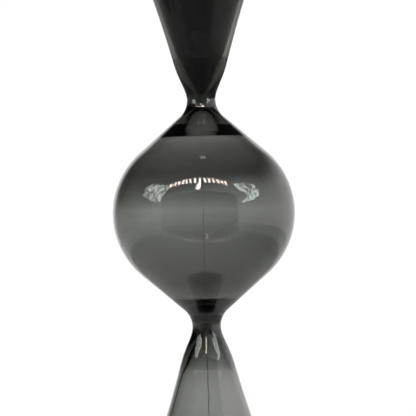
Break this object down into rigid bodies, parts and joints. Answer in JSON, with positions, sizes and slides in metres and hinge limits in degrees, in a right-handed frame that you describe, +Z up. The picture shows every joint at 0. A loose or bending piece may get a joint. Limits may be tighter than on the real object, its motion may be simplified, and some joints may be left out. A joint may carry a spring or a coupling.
{
  "type": "hourglass",
  "caption": "Free-standing smoky glass sandglass: a round ball between two trumpet cones, joined by narrow necks, with black sand running through and a stopper in the end that fills it.",
  "frame": {"origin": "on the glass axis, in the plane of the flat ring that it stands on", "axes": "+Z up along the glass axis, from the lower chamber through the ball to the upper chamber"},
  "size_m": [0.09, 0.09, 0.28],
  "materials": {
    "smoky_glass": "smooth blown glass, smoke grey",
    "black_sand": "fine black sand",
    "stopper_rubber": "moulded black rubber"
  },
  "bodies": {
    "glass": {"upper_chamber": "smoky_glass", "middle_ball": "smoky_glass", "lower_chamber": "smoky_glass", "upper_sand": "black_sand", "upper_thread": "black_sand", "ball_pool": "black_sand", "lower_thread": "black_sand", "lower_heap": "black_sand"},
    "stopper": {"fill_stopper": "stopper_rubber"}
  },
  "joints": [
    {"name": "stopper_pull", "type": "slide", "parent": "glass", "child": "stopper", "axis": [0, 0, 1], "range_m": [0, 0.03]}
  ]
}
